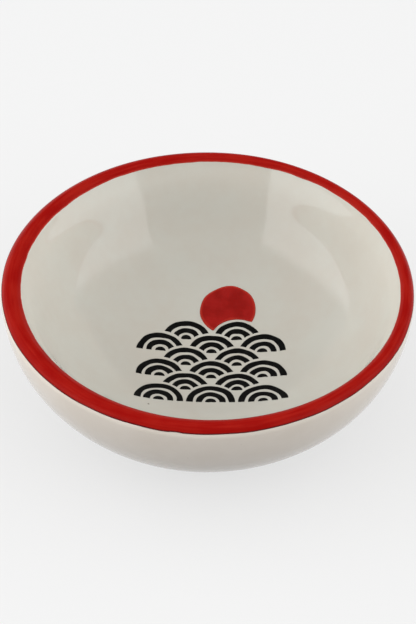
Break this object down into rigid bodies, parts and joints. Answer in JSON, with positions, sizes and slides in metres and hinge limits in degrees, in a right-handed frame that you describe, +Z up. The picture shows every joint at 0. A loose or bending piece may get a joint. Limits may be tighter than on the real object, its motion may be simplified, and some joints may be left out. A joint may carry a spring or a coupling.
{
  "type": "soy sauce dish",
  "caption": "Small round footed dish of glazed earthenware that holds a dip of sauce, with a full round lip, a painted rim band and a painted wave and sun motif in the well.",
  "frame": {"origin": "centre of the foot ring's rest face, on the table", "axes": "+Z up out of the bowl, +X to the right and +Y to the back as the motif is read"},
  "size_m": [0.09, 0.09, 0.032],
  "materials": {
    "bare_clay": "matt fired earthenware, bare only on the foot's rest face",
    "cream_glaze": "glossy opaque cream glaze",
    "red_band": "glossy brushed red band",
    "red_paint": "glossy thick raised red",
    "black_paint": "satin black brush strokes"
  },
  "bodies": {
    "root": {"clay_body": "bare_clay", "inner_glaze": "cream_glaze", "outer_glaze": "cream_glaze", "foot_glaze": "cream_glaze", "rim_band": "red_band", "sun_disc": "red_paint", "wave_1": "black_paint", "wave_2": "black_paint", "wave_3": "black_paint", "wave_4": "black_paint", "wave_5": "black_paint", "wave_6": "black_paint", "wave_7": "black_paint", "wave_8": "black_paint", "wave_9": "black_paint", "wave_10": "black_paint", "wave_11": "black_paint", "wave_12": "black_paint", "wave_13": "black_paint", "wave_14": "black_paint", "wave_15": "black_paint"}
  },
  "joints": []
}
